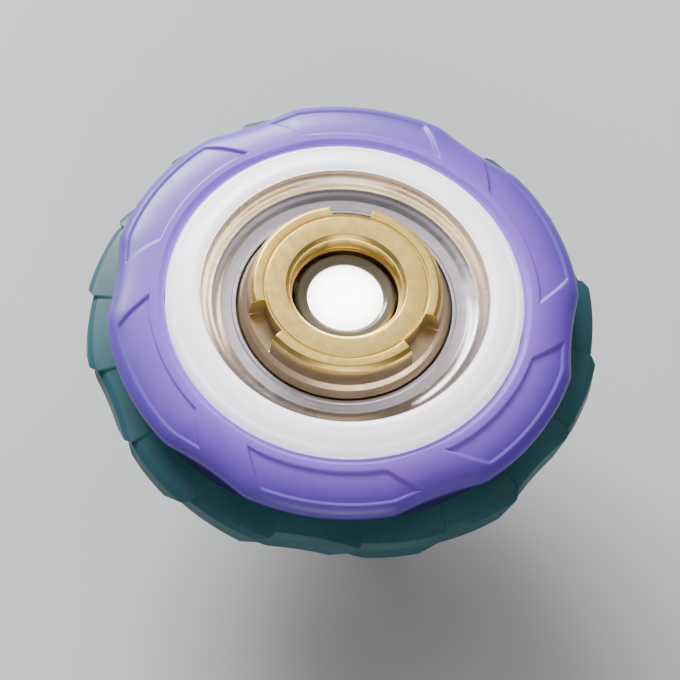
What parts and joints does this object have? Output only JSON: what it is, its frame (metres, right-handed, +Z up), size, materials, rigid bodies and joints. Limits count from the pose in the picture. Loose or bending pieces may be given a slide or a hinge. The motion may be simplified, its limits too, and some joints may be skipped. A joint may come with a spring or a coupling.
{
  "type": "light up spinning top",
  "caption": "Battle-style spinning top with a lobed light-guiding upper layer that twists and locks over a weight disc, a lamp capsule and a free-turning flat tip.",
  "frame": {"origin": "middle of the tip's flat foot, on the surface the top stands on", "axes": "+Z up the spin axis; +Y over the centrifugal switch; +X over a lobe of the lower frame"},
  "size_m": [0.0524, 0.0514, 0.031],
  "materials": {
    "violet_plastic": "gloss",
    "teal_plastic": "gloss",
    "milky_plastic": "satin",
    "clear_plastic": "gloss",
    "reflector_chrome": "polished",
    "hub_gold": "satin",
    "lens_white": "gloss",
    "collar_black": "gloss",
    "charcoal_plastic": "satin",
    "core_plastic": "satin",
    "disc_metal": "satin",
    "tip_brass": "satin",
    "steel": "satin",
    "bearing_steel": "polished",
    "cage_nylon": "satin",
    "cell_can": "satin",
    "sleeve_film": "gloss",
    "contact_metal": "satin",
    "board_laminate": "satin",
    "chip_black": "satin",
    "lamp_epoxy": "gloss",
    "acetal": "satin"
  },
  "bodies": {
    "driver": {"driver_base": "charcoal_plastic", "driver_core": "core_plastic", "base_screws": "steel", "bearing_outer_race": "bearing_steel", "weight_disc": "disc_metal", "battery_spring": "contact_metal", "battery_cell_1": "cell_can", "battery_cell_2": "cell_can", "battery_cell_3": "cell_can", "battery_sleeve": "sleeve_film", "positive_contact": "contact_metal", "contact_strip": "contact_metal", "led_board": "board_laminate", "board_resistor": "chip_black", "led_lamp": "lamp_epoxy", "centre_lens": "lens_white", "lens_collar": "collar_black", "switch_contacts": "contact_metal", "switch_spring": "steel", "click_spring": "steel"},
    "tip": {"tip_foot": "tip_brass", "tip_shaft": "steel", "tip_clip": "steel", "bearing_inner_race": "bearing_steel"},
    "ball_cage": {"bearing_balls": "bearing_steel", "bearing_cage": "cage_nylon"},
    "lock_ring": {"click_ring": "acetal"},
    "weight_slider": {"switch_weight": "bearing_steel"},
    "layer": {"layer_frame": "teal_plastic", "ring_screws": "steel", "outer_ring": "violet_plastic", "diffuser_ring": "milky_plastic", "light_guide": "clear_plastic", "reflector_dish": "reflector_chrome", "hub_cap": "hub_gold", "hub_screws": "steel"}
  },
  "joints": [
    {"name": "layer_twist", "type": "hinge", "parent": "driver", "child": "layer", "pos_m": [0, 0, 0.0225], "axis": [0, 0, 1], "range_deg": [0, 55]},
    {"name": "click_ring_slide", "type": "slide", "parent": "driver", "child": "lock_ring", "axis": [0, 0, 1], "range_m": [-0.0015, 0], "deforming": ["click_spring"]},
    {"name": "tip_spin", "type": "hinge", "parent": "driver", "child": "tip", "pos_m": [0, 0, 0.0069], "axis": [0, 0, 1], "continuous": true},
    {"name": "cage_spin", "type": "hinge", "parent": "driver", "child": "ball_cage", "pos_m": [0, 0, 0.0069], "axis": [0, 0, 1], "continuous": true},
    {"name": "switch_slide", "type": "slide", "parent": "driver", "child": "weight_slider", "axis": [0, 1, 0], "range_m": [0, 0.0012], "stiffness_N_per_m": 4, "springref_m": -0.0002, "deforming": ["switch_spring"]}
  ],
  "couplings": [
    {"joint": "click_ring_slide", "follows": "layer_twist", "m_per_rad": -0.001562},
    {"joint": "cage_spin", "follows": "tip_spin", "ratio": 0.36364}
  ]
}
